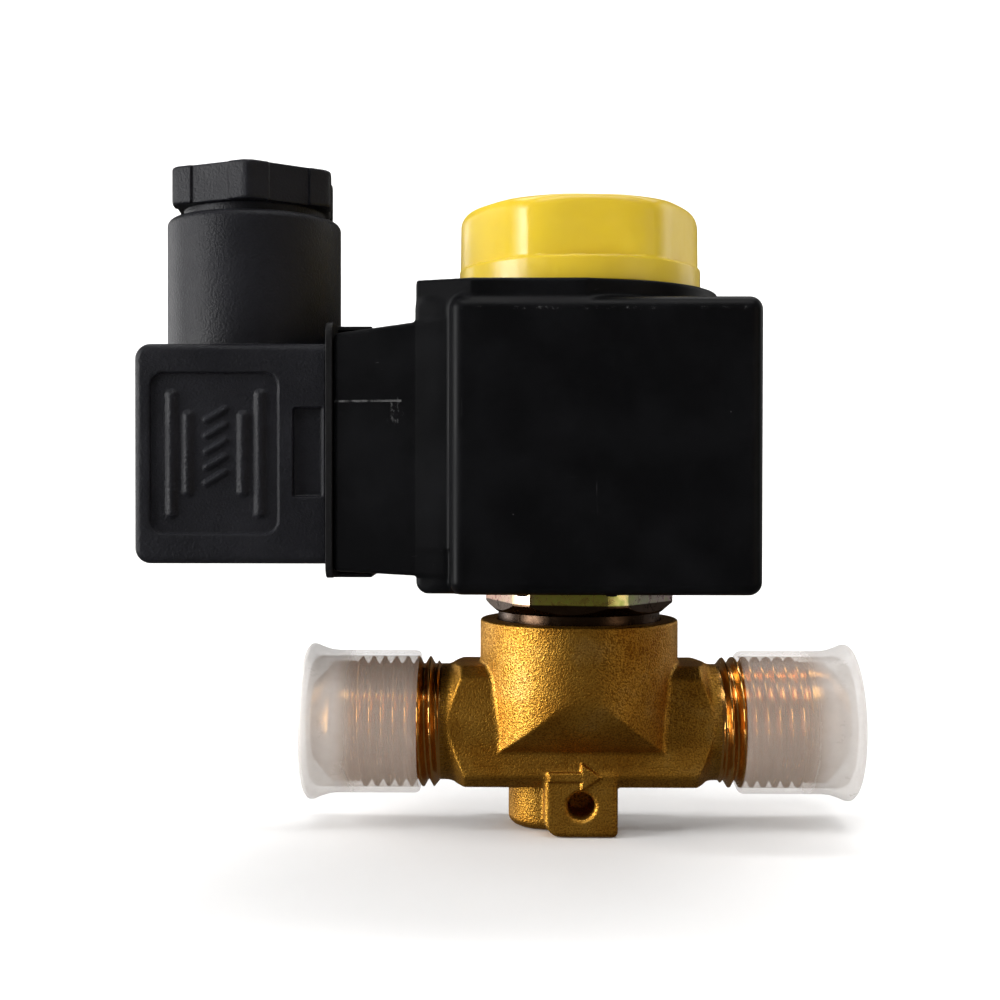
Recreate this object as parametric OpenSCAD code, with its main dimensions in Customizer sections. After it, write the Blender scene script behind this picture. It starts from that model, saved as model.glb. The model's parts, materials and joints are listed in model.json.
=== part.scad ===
// Direct-acting solenoid valve for a refrigerant line: forged brass body with two flare ports,
// encapsulated coil, coil nut, square plug connector with a cable gland, and two thread caps.
// Millimetres, +Z up. The origin is where the flow axis (X) crosses the stem axis (Z).
// Flow runs towards +X, the connector sits on the -X side and the mounting pad faces -Y.

/* [Ports] */
// Major radius of the flare thread
thread_r = 7.94; // [7.8:0.01:7.95]
// Pitch of the flare thread
thread_pitch = 1.411; // [1.3:0.001:1.42]
// Depth of the flare thread
thread_depth = 0.87; // [0.5:0.01:0.9]
// Number of thread turns on each port
thread_turns = 7; // [4:1:7]
// Distance from the stem axis to the face of each port
port_end = 32.5; // [32.4:0.05:32.6]
// Radius of the flow bore in each port
bore_r = 4; // [3:0.1:4]

/* [Body] */
// Radius of the neck that takes the tube nut
neck_r = 12.1; // [11.8:0.1:12.5]
// Height of the neck's rim above the flow axis
neck_top = 12.75; // [12.6:0.05:12.75]
// Half length of the wrench block
block_half = 15.65; // [15:0.05:16]
// Half width of the mounting pad
pad_half = 4.35; // [4:0.05:4.8]
// Distance of the mounting pad's face from the stem axis
pad_face = 7.8; // [7.7:0.05:8.2]
// Lowest point of the mounting pad
pad_bottom = -12.48; // [-13:0.02:-12]
// Core radius of the bracket screw's thread
bracket_hole_r = 1.65; // [1.5:0.05:1.7]
// Radius of the valve seat's orifice
orifice_r = 1.5; // [1:0.1:2]

/* [Armature] */
// Outside radius of the armature tube
tube_r = 6.75; // [6.7:0.01:6.8]
// Wall of the armature tube
tube_wall = 0.45; // [0.4:0.01:0.5]
// Distance the plunger lifts
plunger_lift = 2.2; // [1.5:0.1:2.2]
// Turns of the plunger spring
spring_turns = 6; // [4:1:8]

/* [Coil] */
// Bottom of the coil block
coil_bottom = 16.9; // [16.85:0.01:16.95]
// Top of the coil block's flat shoulders
coil_shoulder = 50.1; // [50:0.1:50.5]
// Top of the round boss that the nut clamps
coil_top = 52.1; // [52:0.02:52.14]
// Half depth of the coil block
coil_half_depth = 18; // [18:0.1:18.5]
// Left end of the coil block's shoulders
coil_left = -19; // [-19.5:0.1:-19]
// Right end of the coil block
coil_right = 19.6; // [19:0.1:20]
// Half depth of the coil's deep part, left of its panels
coil_deep_half = 15.1; // [15:0.1:15.4]
// Radius of the round boss on top of the coil
coil_boss_r = 16.7; // [16.5:0.05:16.8]
// Half depth of the boss's straight run
coil_boss_half = 17.4; // [17.2:0.1:17.4]

/* [Connector] */
// Half width of the connector pad and its gasket
din_half = 14.2; // [14:0.1:14.4]
// Face of the coil that the connector gasket seals on
din_face = -28.5; // [-28.6:0.02:-28.48]
// Height of the connector's centre screw
screw_z = 33.2; // [33.1:0.05:33.3]
// Spacing of the two line blades
blade_spacing = 18; // [17.8:0.1:18.2]
// Left end of the connector housing
plug_left = -51.3; // [-51.5:0.1:-51.3]
// Half width of the connector housing
plug_half = 13.5; // [13.5:0.1:13.8]
// Centre of the cable gland
gland_x = -39.9; // [-39.95:0.05:-39.9]
// Outside radius of the gland tube
gland_r = 10.5; // [10.3:0.05:10.5]
// Radius of the gland nut's cable hole
cable_r = 4.5; // [4:0.1:5]

/* [Nuts and caps] */
// Width across the flats of the tube nut
hex_flats = 21; // [20.6:0.1:21.4]
// Radius of the coil nut's flange
nut_flange_r = 14.7; // [14.5:0.05:14.9]
// Top of the coil nut
nut_top = 62.3; // [62:0.1:63]
// Outside radius of the thread caps
cap_r = 8.69; // [8.6:0.01:8.9]
// Radius of the thread caps' flared lip
cap_lip_r = 9.5; // [9.3:0.1:9.8]

/* [Hidden] */
$fn = 72;

fit = 0.05;            // gap round pieces moulded or set into another
eps = 1;               // how far cutters run past a face

// stack of the armature, from the seat up
seat_top = 6.6;
chamber_r = 7.5;
chamber_floor = 5.2;
seal_step = 7.2;
flange_r = 8.9;
flange_z = 8.4;
flange_t = 1;
nut_thread_r = 9.9;
hex_z = 13.8;
hex_top = 16.6;
plunger_r = tube_r - tube_wall - 0.15;
plunger_bottom = 7;
core_face = 36;
plunger_top = core_face - plunger_lift - 0.2;
spring_pocket = 25.6;
spring_r = 2.6;
spring_wire_r = 0.35;
core_top = 50.2;
stud_r = 3.95;
stud_top = 59.5;

// magnet frame and winding inside the coil
coil_bore_r = 7.05;
yoke_t = 2.4;
yoke_bottom = 18;
yoke_top = 49.6;
yoke_half_y = 17;
yoke_half_x = 12.5;
bobbin_r = 13.6;
bobbin_low = yoke_bottom + yoke_t + fit;
bobbin_high = yoke_top - yoke_t - fit;
bobbin_flange = 1.3;
winding_r = 13.2;
gasket_r = 10.2;
gasket_low = hex_top + fit;
gasket_high = 17.6;

// plug connector
blade_w = 6.3;
blade_t = 0.8;
blade_end = -38;
blade_root = -22;
earth_z = screw_z - blade_spacing / 2;
plug_low = 20.1;
plug_high = 45.2;
plug_right = -29.35;
plug_wall = 1.8;
block_left = -41;
block_right = -30.3;
tab_t = 0.9;
line_screw_y = 8.6;
line_screw_z = 39;
earth_screw_y = 6.8;
earth_screw_z = 25.6;
gasket_t = 0.8;
tube_top = 61.2;
gland_thread_r = 8.6;
grommet_low = 45;
grommet_high = 50.7;
washer_high = 51.6;
gland_shoulder = 62.3;
gland_top = 66.8;
screw_head_r = 2.9;
screw_head_x = -49;
screw_r = 1.45;

// caps
cap_mouth = 19.5;
cap_inner_r = thread_r + 0.06;
cap_end = 33.35;

// Lays something drawn along +Z along +X, with its own X axis turned down to -Z.
module along_x() {
    rotate([0, 90, 0]) children();
}

// Lays a flat outline in the X-Z plane and gives it a thickness from y0 to y1.
module upright(y0, y1) {
    translate([0, y1, 0]) rotate([90, 0, 0]) linear_extrude(y1 - y0) children();
}

// Lays a flat outline in the Y-Z plane and gives it a length from x0 to x1.
module lengthwise(x0, x1) {
    translate([x0, 0, 0]) rotate([90, 0, 90]) linear_extrude(x1 - x0) children();
}

module rounded_rect(low, high, r) {
    union() {
        translate([low[0] + r, low[1]]) square([high[0] - low[0] - 2 * r, high[1] - low[1]]);
        translate([low[0], low[1] + r]) square([high[0] - low[0], high[1] - low[1] - 2 * r]);
        for (x = [low[0] + r, high[0] - r], y = [low[1] + r, high[1] - r])
            translate([x, y]) circle(r = r);
    }
}

module box(low, high) {
    translate(low) cube(high - low);
}

module ring(inner, outer, low, high) {
    translate([0, 0, low]) difference() {
        cylinder(r = outer, h = high - low);
        translate([0, 0, -eps]) cylinder(r = inner, h = high - low + 2 * eps);
    }
}

// ---- body --------------------------------------------------------------------------------

// Half section of a port: relief, thread, plain end and 45 degree flare nose.
function thread_points(start) = [
    for (i = [0 : thread_turns - 1], p = [
        [thread_r - thread_depth, start + (i + 1 / 16) * thread_pitch],
        [thread_r, start + (i + 7 / 16) * thread_pitch],
        [thread_r, start + (i + 9 / 16) * thread_pitch],
        [thread_r - thread_depth, start + (i + 15 / 16) * thread_pitch]
    ]) p
];

module port() {
    relief_r = 7.15;
    thread_start = 17.2;
    plain_r = 7.35;
    nose_start = port_end - 2.4;
    nose_tip_r = 4.85;
    rotate_extrude() polygon(concat(
        [[0, 8], [relief_r, 8], [relief_r, thread_start]],
        thread_points(thread_start),
        [
            [plain_r, thread_start + thread_turns * thread_pitch + 0.2],
            [plain_r, nose_start],
            [nose_tip_r, port_end],
            [0, port_end]
        ]
    ));
}

module wrench_block() {
    turned_r = 6.9;
    // the sides lean 7 degrees, as the forging leaves its die
    intersection() {
        lengthwise(-block_half, block_half) polygon([
            [-6.2, 5.9], [-5.4, 6.9], [-4.4, 7.4], [4.4, 7.4], [5.4, 6.9], [6.2, 5.9],
            [7.7, -5.4], [6.3, -6.9], [-6.3, -6.9], [-7.7, -5.4]
        ]);
        // turned ends: a steep chamfer on each
        along_x() rotate_extrude() polygon([
            [0, -block_half], [turned_r, -block_half], [turned_r + 2.7, 2.03 - block_half],
            [turned_r + 2.7, block_half - 2.03], [turned_r, block_half], [0, block_half]
        ]);
    }
}

// Outline of the neck's underside, seen along X: an ellipse that curves back to the block.
module neck_underside() {
    crown_z = 5.44;
    half_height = 9.9;
    polygon(concat(
        [for (a = [0 : 5 : 180]) [neck_r * cos(a), crown_z - half_height * sin(a)]],
        [[-neck_r, neck_top + eps], [neck_r, neck_top + eps]]
    ));
}

module neck() {
    chamfer = 0.35;
    intersection() {
        rotate_extrude() polygon([
            [0, -5], [neck_r, -5], [neck_r, neck_top - chamfer],
            [neck_r - chamfer, neck_top], [0, neck_top]
        ]);
        lengthwise(-neck_r - eps, neck_r + eps) neck_underside();
    }
}

module mounting_pad() {
    corner_r = 0.8;
    chamfer = 1.25;
    difference() {
        upright(-pad_face, -2)
            rounded_rect([-pad_half, pad_bottom], [pad_half, -4.8], corner_r);
        upright(-pad_face - eps, -2 + eps) polygon([
            [-pad_half - eps, pad_bottom - eps], [-pad_half + chamfer + eps, pad_bottom - eps],
            [-pad_half + chamfer, pad_bottom], [-pad_half, pad_bottom + chamfer],
            [-pad_half - eps, pad_bottom + chamfer + eps]
        ]);
    }
}

module lower_boss() {
    boss_r = 5;
    boss_x = -3.6;
    boss_y = 0.4;
    boss_bottom = -12.5;
    edge = 1.1;
    translate([boss_x, boss_y, 0]) rotate_extrude() polygon([
        [0, boss_bottom], [boss_r - edge, boss_bottom], [boss_r - 0.3, boss_bottom + 0.35],
        [boss_r, boss_bottom + edge], [boss_r, -4.5], [0, -4.5]
    ]);
}

module flow_arrow() {
    upright(-8.1, -7) polygon([
        [-4.1, -5.8], [0.1, -5.8], [0.1, -6.8], [2.35, -5.3], [0.1, -3.8], [0.1, -4.8], [-4.1, -4.8]
    ]);
}

module flow_passages() {
    inlet_stop = -5;
    outlet_stop = -1.6;
    riser_x = -5.9;
    riser_r = 1.3;
    // inlet bore with its riser to the ring chamber
    translate([-port_end - eps, 0, 0]) along_x() cylinder(r = bore_r, h = port_end + eps + inlet_stop);
    translate([riser_x, 0, 0]) cylinder(r = riser_r, h = chamber_floor + eps / 2);
    // outlet bore, under the seat
    translate([outlet_stop, 0, 0]) along_x() cylinder(r = bore_r, h = port_end + eps - outlet_stop);
    cylinder(r = orifice_r, h = seat_top + eps);
    // ring chamber round the seat, seal step and nut thread
    ring(3, chamber_r, chamber_floor, seat_top);
    translate([0, 0, seat_top]) cylinder(r = chamber_r, h = neck_top);
    translate([0, 0, seal_step]) cylinder(r = flange_r + 0.1, h = neck_top);
    translate([0, 0, flange_z + flange_t]) cylinder(r = nut_thread_r + 0.1, h = neck_top);
}

module bracket_hole() {
    z = -8.75;
    depth = 6;
    sink = 0.3;
    translate([0, depth - pad_face, z]) rotate([90, 0, 0]) {
        cylinder(r = bracket_hole_r, h = depth + eps);
        translate([0, 0, depth - sink]) cylinder(r1 = bracket_hole_r, r2 = bracket_hole_r + sink, h = sink);
    }
}

module valve_body() {
    color("#a8843c") difference() {
        union() {
            wrench_block();
            neck();
            mounting_pad();
            lower_boss();
            flow_arrow();
            along_x() port();
            rotate([0, 0, 180]) along_x() port();
        }
        flow_passages();
        bracket_hole();
    }
}

module tube_nut() {
    turned_r = 11.45;
    tilt = -9;
    corner_drop = 1.1;
    color("#a9a06a") difference() {
        union() {
            translate([0, 0, flange_z + flange_t + fit])
                cylinder(r = nut_thread_r, h = hex_z - flange_z - flange_t - fit);
            intersection() {
                translate([0, 0, hex_z]) rotate([0, 0, tilt])
                    cylinder(r = hex_flats / sqrt(3), h = hex_top - hex_z, $fn = 6);
                rotate_extrude() polygon([
                    [0, hex_z], [hex_flats / 2 - 0.3, hex_z], [turned_r, hex_z + corner_drop],
                    [turned_r, hex_top], [0, hex_top]
                ]);
            }
        }
        translate([0, 0, flange_z]) cylinder(r = tube_r + 0.15, h = hex_top);
    }
}

// ---- armature ----------------------------------------------------------------------------

module armature_tube() {
    tube_end = 49;
    color("#c9c9c6") difference() {
        union() {
            translate([0, 0, flange_z]) cylinder(r = flange_r, h = flange_t);
            translate([0, 0, flange_z]) cylinder(r = tube_r, h = tube_end - flange_z);
        }
        translate([0, 0, flange_z - eps]) cylinder(r = tube_r - tube_wall, h = tube_end);
    }
}

module tube_seal() {
    section_r = 0.58;
    color("#202020") translate([0, 0, seal_step + section_r + 0.01])
        rotate_extrude() translate([8.35, 0]) circle(r = section_r);
}

module fixed_core() {
    groove_low = 4.35;
    groove_high = 5.25;
    groove_depth = 1.5;
    head_z = 49;
    color("#b4b4b2") difference() {
        union() {
            translate([0, 0, core_face]) cylinder(r = tube_r - tube_wall - 0.02, h = head_z - core_face);
            translate([0, 0, head_z]) cylinder(r = tube_r, h = core_top - head_z);
            rotate_extrude() polygon([
                [0, core_face + 1], [stud_r, core_face + 1], [stud_r, stud_top - 0.6],
                [stud_r - 0.6, stud_top], [0, stud_top]
            ]);
        }
        ring(groove_low, groove_high, core_face - eps, core_face + groove_depth);
    }
}

module shading_ring() {
    color("#b87333") ring(4.35 + fit, 5.25 - fit, core_face, core_face + 1.45);
}

// Points of one ring of the spring's wire, at turn t.
function spring_ring(t, sides, low, high) = [
    for (k = [0 : sides - 1])
        let (
            out = spring_r + spring_wire_r * cos(360 * k / sides),
            rise = low + (high - low) * t / spring_turns
        )
        [out * cos(360 * t), out * sin(360 * t), rise + spring_wire_r * sin(360 * k / sides)]
];

module plunger_spring() {
    sides = 8;
    steps = 16 * spring_turns;
    low = spring_pocket + spring_wire_r + 0.02;
    high = core_face - spring_wire_r - 0.02;
    rings = [for (i = [0 : steps]) spring_ring(i * spring_turns / steps, sides, low, high)];
    points = [for (r = rings, p = r) p];
    walls = [
        for (i = [0 : steps - 1], k = [0 : sides - 1])
            let (a = i * sides + k, b = i * sides + (k + 1) % sides)
            [a, a + sides, b + sides, b]
    ];
    start_cap = [for (k = [0 : sides - 1]) k];
    end_cap = [for (k = [sides - 1 : -1 : 0]) steps * sides + k];
    color("#8f9296") polyhedron(points = points, faces = concat(walls, [start_cap, end_cap]));
}

module plunger() {
    pocket_r = 3.2;
    seal_pocket_r = 2.65;
    slot_depth = 0.7;
    chamfer = 0.5;
    color("#9c9c9a") difference() {
        rotate_extrude() polygon([
            [0, plunger_bottom], [plunger_r - 1.4, plunger_bottom], [plunger_r, plunger_bottom + 1.4],
            [plunger_r, plunger_top - chamfer], [plunger_r - chamfer, plunger_top], [0, plunger_top]
        ]);
        translate([0, 0, spring_pocket]) cylinder(r = pocket_r, h = plunger_top);
        translate([0, 0, plunger_bottom - eps]) cylinder(r = seal_pocket_r, h = 1.4 + eps);
        for (side = [0, 180]) rotate([0, 0, side])
            box([plunger_r - slot_depth, -0.8, plunger_bottom - eps], [plunger_r + eps, 0.8, plunger_top + eps]);
    }
}

module plunger_seal() {
    color("#f0efe8") translate([0, 0, seat_top + 0.02])
        cylinder(r = 2.6, h = plunger_bottom + 1.4 - seat_top - 0.05);
}

// ---- coil --------------------------------------------------------------------------------

module yoke_shape(grow) {
    difference() {
        box(
            [-yoke_half_x - grow, -yoke_half_y - grow, yoke_bottom - grow],
            [yoke_half_x + grow, yoke_half_y + grow, yoke_top + grow]
        );
        box(
            [-yoke_half_x - eps, yoke_t + grow - yoke_half_y, yoke_bottom + yoke_t + grow],
            [yoke_half_x + eps, yoke_half_y - yoke_t - grow, yoke_top - yoke_t - grow]
        );
    }
}

module blade_shape(end, grow) {
    // line blades stand on edge either side of the screw, the earth blade lies flat below it
    for (side = [-1, 1]) translate([0, side * blade_spacing / 2, screw_z])
        box([end, -blade_t / 2 - grow, -blade_w / 2 - grow], [blade_root + grow, blade_t / 2 + grow, blade_w / 2 + grow]);
}

module earth_shape(end, grow) {
    translate([0, 0, earth_z])
        box([end, -blade_w / 2 - grow, -blade_t / 2 - grow], [blade_root + grow, blade_w / 2 + grow, blade_t / 2 + grow]);
}

// The connector pad: it tapers a little towards the connector.
module connector_pad() {
    far_low = 19.3;
    far_high = 46.3;
    near_low = 18.8;
    near_high = 47.7;
    intersection() {
        upright(-coil_deep_half, coil_deep_half) polygon([
            [din_face, far_low], [coil_left + 2, near_low],
            [coil_left + 2, near_high], [din_face, far_high]
        ]);
        translate([0, 0, far_low - 2]) linear_extrude(near_high - far_low + 4) polygon([
            [din_face, -din_half + 0.4], [coil_left + 2, -coil_deep_half],
            [coil_left + 2, coil_deep_half], [din_face, din_half - 0.4]
        ]);
    }
}

module coil_shell() {
    corner_r = 1.3;
    panel_left = -15.1;
    nub_r = 0.7;
    union() {
        // block with its front and rear panels
        translate([0, 0, coil_bottom]) linear_extrude(coil_shoulder - coil_bottom)
            rounded_rect([panel_left, -coil_half_depth], [coil_right, coil_half_depth], corner_r);
        // deep part behind the panels, open to the connector side
        translate([0, 0, coil_bottom]) linear_extrude(coil_shoulder - coil_bottom)
            rounded_rect([coil_left, -coil_deep_half], [0, coil_deep_half], corner_r);
        // round boss under the nut, with its straight run to the connector side
        translate([0, 0, coil_shoulder - eps]) linear_extrude(coil_top - coil_shoulder + eps) union() {
            hull() {
                circle(r = coil_boss_r);
                translate([panel_left, -coil_boss_half]) square([-panel_left, 2 * coil_boss_half]);
            }
            translate([coil_left, -coil_deep_half]) square([-coil_left, 2 * coil_deep_half]);
        }
        connector_pad();
        // moulding nubs under the block
        for (x = [-7, 3.1]) translate([x, -13.5, coil_bottom - 0.4]) cylinder(r = nub_r, h = 1);
    }
}

module coil_housing() {
    color("#17171a") difference() {
        coil_shell();
        translate([0, 0, coil_bottom - eps]) cylinder(r = coil_bore_r, h = coil_top);
        translate([0, 0, coil_bottom - eps]) cylinder(r = gasket_r + 0.3, h = gasket_high + fit - coil_bottom + eps);
        yoke_shape(fit);
        translate([0, 0, bobbin_low - fit]) cylinder(r = bobbin_r + fit, h = bobbin_high - bobbin_low + 2 * fit);
        blade_shape(din_face - eps, fit);
        earth_shape(din_face - eps, fit);
        translate([din_face - eps, 0, screw_z]) along_x() cylinder(r = 2.6 + fit, h = 6.4 + eps);
    }
}

module coil_bobbin() {
    color("#d8d2c0") difference() {
        union() {
            translate([0, 0, bobbin_low]) cylinder(r = 8.05, h = bobbin_high - bobbin_low);
            translate([0, 0, bobbin_low]) cylinder(r = bobbin_r, h = bobbin_flange);
            translate([0, 0, bobbin_high - bobbin_flange]) cylinder(r = bobbin_r, h = bobbin_flange);
        }
        translate([0, 0, bobbin_low - eps]) cylinder(r = coil_bore_r, h = bobbin_high);
    }
}

module coil_winding() {
    color("#b4632c") ring(8.1, winding_r, bobbin_low + bobbin_flange + fit, bobbin_high - bobbin_flange - fit);
}

module coil_yoke() {
    color("#8c8f94") difference() {
        yoke_shape(0);
        translate([0, 0, yoke_bottom - eps]) cylinder(r = coil_bore_r, h = yoke_top);
    }
}

module line_blades() {
    color("#c8c8c8") blade_shape(blade_end, 0);
}

module earth_blade() {
    color("#c8c8c8") earth_shape(blade_end, 0);
}

module screw_insert() {
    color("#c0a050") translate([din_face, 0, screw_z]) along_x() difference() {
        cylinder(r = 2.6, h = 6.3);
        translate([0, 0, -eps]) cylinder(r = screw_r + 0.1, h = 5.5 + eps);
    }
}

module coil_base_gasket() {
    color("#1c1c1e") ring(7.2, gasket_r, gasket_low, gasket_high);
}

// ---- coil nut ----------------------------------------------------------------------------

module nut_gasket() {
    color("#1c1c1e") ring(10.2, 12.2, coil_top + 0.05, coil_top + 1.2);
}

module coil_nut() {
    bottom = coil_top + 0.15;
    flange_top = 55.1;
    grip_r = nut_flange_r - 0.1;
    grip_flats = 13.3;
    turn = 3.6;
    edge = 1.6;
    color("#e6c32a") difference() {
        union() {
            rotate_extrude() polygon([
                [0, bottom], [nut_flange_r, bottom], [nut_flange_r - 0.15, flange_top], [0, flange_top]
            ]);
            intersection() {
                translate([0, 0, flange_top - eps]) rotate([0, 0, turn])
                    cylinder(r = grip_flats / cos(30), h = nut_top - flange_top + eps, $fn = 6);
                rotate_extrude() polygon([
                    [0, flange_top - eps], [grip_r, flange_top - eps], [grip_r, nut_top - edge],
                    [grip_r - 0.5, nut_top - 0.5], [grip_r - edge, nut_top], [0, nut_top]
                ]);
            }
        }
        translate([0, 0, bottom - eps]) cylinder(r = stud_r + 0.1, h = stud_top + 0.6 - bottom + eps);
        ring(10, 12.4, bottom - eps, coil_top + 1.4);
        ring(5.6, 9, bottom - eps, bottom + 1.2);
    }
}

// ---- connector ---------------------------------------------------------------------------

module connector_housing() {
    corner_r = 1.8;
    screw_boss_r = 4.3;
    panel_depth = 0.5;
    color("#1b1c20") difference() {
        union() {
            upright(-plug_half, plug_half)
                rounded_rect([plug_left, plug_low], [plug_right, plug_high], corner_r);
            // the rounded right-hand corners are filled where the gasket seals
            box([plug_right - 2 * corner_r, -plug_half, plug_low], [plug_right, plug_half, plug_high]);
            translate([gland_x, 0, plug_high - 1]) cylinder(r = gland_r, h = tube_top - plug_high + 1);
        }
        difference() {
            box(
                [plug_left + plug_wall, plug_wall - plug_half, plug_low + plug_wall],
                [plug_right + eps, plug_half - plug_wall, plug_high - plug_wall]
            );
            translate([plug_left, 0, screw_z]) along_x() cylinder(r = screw_boss_r, h = 5);
        }
        // gland: hole to the wiring space, grommet seat, nut thread
        translate([gland_x, 0, 0]) {
            translate([0, 0, plug_high - plug_wall - eps]) cylinder(r = 7, h = 2 * plug_wall);
            translate([0, 0, grommet_low]) cylinder(r = gland_thread_r, h = tube_top);
        }
        // screw hole and its counterbore
        translate([plug_left - eps, 0, screw_z]) along_x() {
            cylinder(r = 1.75, h = 8);
            cylinder(r = screw_head_r + 0.3, h = screw_head_x + 0.5 - plug_left + eps);
        }
        // sunk panel and latch window on both sides
        for (side = [-1, 1]) {
            upright(side * plug_half - panel_depth, side * plug_half + panel_depth)
                rounded_rect([-49.4, 23.6], [-35, 41.7], 1.5);
            upright(side * plug_half - 0.8, side * plug_half + 0.8)
                rounded_rect([-33.2, 27.7], [-29.8, 37.9], 0.3);
        }
    }
}

module socket_pockets(grow) {
    for (side = [-1, 1]) translate([0, side * blade_spacing / 2, screw_z])
        box([block_left - eps, -1.2 - grow, -3.9 - grow], [block_right - 0.6, 1.2 + grow, 3.9 + grow]);
    translate([0, 0, earth_z])
        box([block_left - eps, -3.9 - grow, -1.2 - grow], [block_right - 0.6, 3.9 + grow, 1.2 + grow]);
}

module terminal_block() {
    color("#2a2b2f") difference() {
        lengthwise(block_left, block_right)
            rounded_rect([-11.4, 22.6], [11.4, 43], 1);
        socket_pockets(fit);
        blade_shape(block_left - eps, 0.15);
        earth_shape(block_left - eps, 0.15);
        translate([block_left - eps, 0, screw_z]) along_x() cylinder(r = 1.8, h = 14);
        for (side = [-1, 1]) translate([block_left - eps, side * line_screw_y, line_screw_z])
            along_x() cylinder(r = screw_r + fit, h = 5.3 + eps);
        translate([block_left - eps, earth_screw_y, earth_screw_z])
            along_x() cylinder(r = screw_r + fit, h = 5.3 + eps);
    }
}

module line_sockets() {
    color("#bdbdb8") for (side = [-1, 1]) difference() {
        union() {
            translate([0, side * blade_spacing / 2, screw_z])
                box([block_left - tab_t, -1.2, -3.9], [block_right - 0.7, 1.2, 3.9]);
            translate([0, side * line_screw_y, screw_z])
                box([block_left - tab_t, -2.2, -3.9], [block_left, 2.2, 8.4]);
        }
        translate([0, side * blade_spacing / 2, screw_z])
            box([block_left + 1, -0.5, -3.25], [block_right, 0.5, 3.25]);
        translate([block_left - 2, side * line_screw_y, line_screw_z]) along_x() cylinder(r = screw_r + fit, h = 3);
    }
}

module earth_socket() {
    color("#bdbdb8") difference() {
        union() {
            translate([0, 0, earth_z])
                box([block_left - tab_t, -3.9, -1.2], [block_right - 0.7, 3.9, 1.2]);
            translate([0, 0, earth_z])
                box([block_left - tab_t, 3, -1.2], [block_left, 9.2, 3.4]);
        }
        translate([0, 0, earth_z])
            box([block_left + 1, -3.25, -0.5], [block_right, 3.25, 0.5]);
        translate([block_left - 2, earth_screw_y, earth_screw_z]) along_x() cylinder(r = screw_r + fit, h = 3);
    }
}

module terminal_screw() {
    head = 1.9;
    translate([block_left - tab_t - head, 0, 0]) along_x() difference() {
        union() {
            cylinder(r = 2.3, h = head);
            cylinder(r = screw_r, h = head + tab_t + 5);
        }
        box([-3, -0.4, -eps], [3, 0.4, 0.9]);
    }
}

module terminal_screws() {
    color("#b9b48a") {
        for (side = [-1, 1]) translate([0, side * line_screw_y, line_screw_z]) terminal_screw();
        translate([0, earth_screw_y, earth_screw_z]) terminal_screw();
    }
}

module profile_gasket() {
    low = 18.5;
    high = 47.6;
    lip_end = -24.6;
    window_half = 10.8;
    color("#141416") difference() {
        union() {
            lengthwise(plug_right, din_face - fit) rounded_rect([-din_half, low], [din_half, high], 1.5);
            // lips that lie over and under the pad
            box([plug_right, -9, high - 0.5], [lip_end, 9, high]);
            box([plug_right, -9, low - 0.2], [lip_end, 9, low + 0.25]);
        }
        box([plug_right - eps, -window_half, 22.4], [din_face + eps, window_half, 43.8]);
    }
}

module gland_grommet() {
    color("#2b2b2d") translate([gland_x, 0, 0]) rotate_extrude() polygon([
        [3.6, grommet_low + 0.02], [8.3, grommet_low + 0.02], [8.3, grommet_high - 1.2],
        [6.8, grommet_high], [3.6, grommet_high]
    ]);
}

module gland_washer() {
    color("#c7c7c2") translate([gland_x, 0, 0]) ring(4.6, 8.2, grommet_high + 0.1, washer_high);
}

module gland_nut() {
    shank_r = 8.5;
    corner_r = 10.85;
    turned_r = 10.7;
    turn = 36;
    relief = 0.3;
    relief_half = 2.6;
    flat = corner_r * cos(30);
    color("#1b1c20") translate([gland_x, 0, 0]) difference() {
        union() {
            translate([0, 0, washer_high + 0.1]) cylinder(r = shank_r, h = gland_shoulder - washer_high);
            intersection() {
                translate([0, 0, gland_shoulder]) rotate([0, 0, turn])
                    cylinder(r = corner_r, h = gland_top - gland_shoulder, $fn = 6);
                rotate_extrude() polygon([
                    [0, gland_shoulder], [turned_r, gland_shoulder], [turned_r, gland_top - 0.6],
                    [turned_r - 0.6, gland_top], [0, gland_top]
                ]);
            }
        }
        translate([0, 0, washer_high - eps]) cylinder(r = cable_r, h = gland_top);
        // the middle of every flat is set back, for grip
        for (i = [0 : 5]) rotate([0, 0, turn + 30 + 60 * i])
            box([flat - relief, -relief_half, gland_shoulder - eps], [flat + 1, relief_half, gland_top + eps]);
    }
}

module screw_seal() {
    color("#1c1c1e") translate([screw_head_x + 0.02, 0, screw_z]) along_x() ring(1.6, screw_head_r, 0, 0.4);
}

module centre_screw() {
    head = 2.1;
    tip = -24.2;
    color("#b9b9b4") translate([screw_head_x, 0, screw_z]) along_x() difference() {
        union() {
            translate([0, 0, -head]) cylinder(r = screw_head_r, h = head);
            cylinder(r = screw_r, h = tip - screw_head_x);
        }
        box([-4, -0.4, -head - eps], [4, 0.4, -head + 1]);
    }
}

// ---- caps --------------------------------------------------------------------------------

// A soft cap over one port, drawn along +Z from its mouth to its closed, flared end.
module thread_cap() {
    rotate_extrude() polygon([
        [cap_inner_r, cap_mouth], [cap_r - 0.25, cap_mouth], [cap_r, cap_mouth + 0.4],
        [cap_r, 29.8], [cap_lip_r - 0.25, 32], [cap_lip_r, 32.5], [cap_lip_r, cap_end - 0.4],
        [cap_lip_r - 0.5, cap_end], [0, cap_end], [0, port_end + 0.15], [cap_inner_r, port_end + 0.15]
    ]);
}

module outlet_cap() {
    color("#e8e6e2", 0.45) along_x() thread_cap();
}

module inlet_cap() {
    color("#e8e6e2", 0.45) rotate([0, 0, 180]) along_x() thread_cap();
}

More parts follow.
